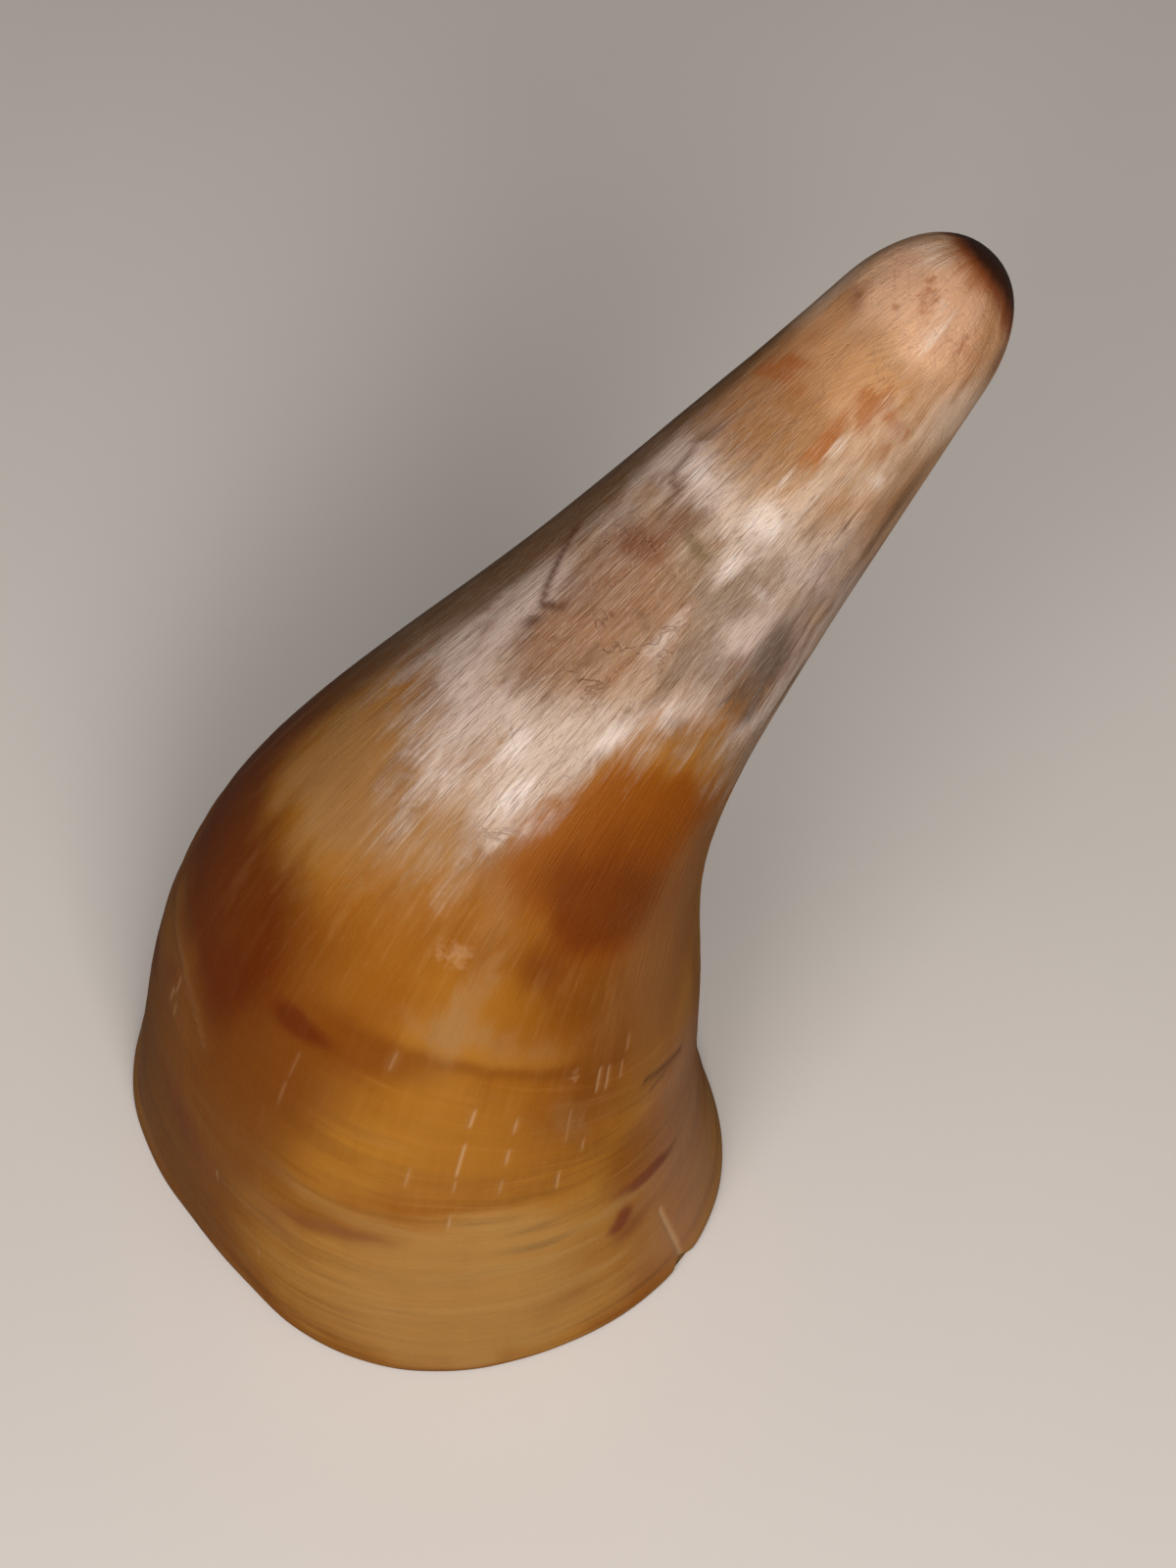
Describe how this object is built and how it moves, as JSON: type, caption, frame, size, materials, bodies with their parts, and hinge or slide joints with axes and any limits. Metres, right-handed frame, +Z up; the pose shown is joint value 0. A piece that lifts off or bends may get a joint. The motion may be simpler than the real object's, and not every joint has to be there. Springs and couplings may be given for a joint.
{
  "type": "buffalo horn",
  "caption": "Hollow polished horn sheath with a level cut rim, a broad swollen root, one smooth bend and a blunt round tip. It stands upright on its rim.",
  "frame": {"origin": "under the middle of the horn's bounding box, on the plane of its cut rim", "axes": "+Z up, with the horn standing on its rim; the tip leans towards +X and, less, towards +Y; -Y is the side the picture is taken from"},
  "size_m": [0.127, 0.0942, 0.1496],
  "materials": {
    "horn": "polished horn, amber brown at the root and streaked cream towards the tip"
  },
  "bodies": {
    "root": {"horn": "horn"}
  },
  "joints": []
}
